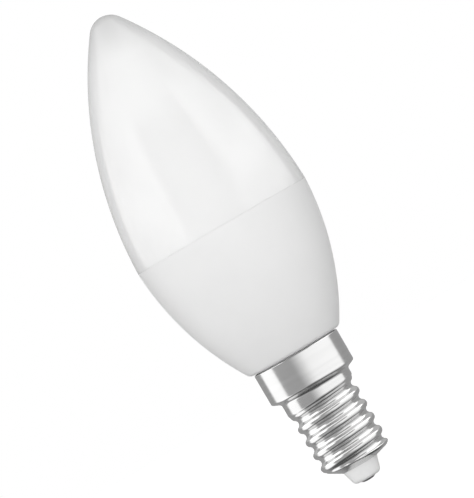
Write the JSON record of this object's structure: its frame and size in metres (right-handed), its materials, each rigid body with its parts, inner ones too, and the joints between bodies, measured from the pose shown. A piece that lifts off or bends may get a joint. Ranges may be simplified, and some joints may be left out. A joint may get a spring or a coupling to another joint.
{
  "type": "candle bulb",
  "caption": "Opal candle-shaped lamp with a slender round-tipped diffuser, a white tapering housing and a small screw cap with a centre contact, for a small screw lampholder.",
  "frame": {"origin": "centre of the flat land at the end of the centre contact, where the lamp meets its holder", "axes": "+Z along the axis of the lamp, from the contact to the tip of the diffuser; X and Y across it"},
  "size_m": [0.036, 0.036, 0.1],
  "materials": {
    "opal": "glossy translucent white",
    "white_plastic": "satin white",
    "nickel_plate": "bright nickel plate",
    "pale_insulation": "satin pale grey",
    "contact_metal": "dull plated metal"
  },
  "bodies": {
    "root": {"diffuser": "opal", "housing": "white_plastic", "screw_shell": "nickel_plate", "insulator": "pale_insulation", "centre_contact": "contact_metal"}
  },
  "joints": []
}
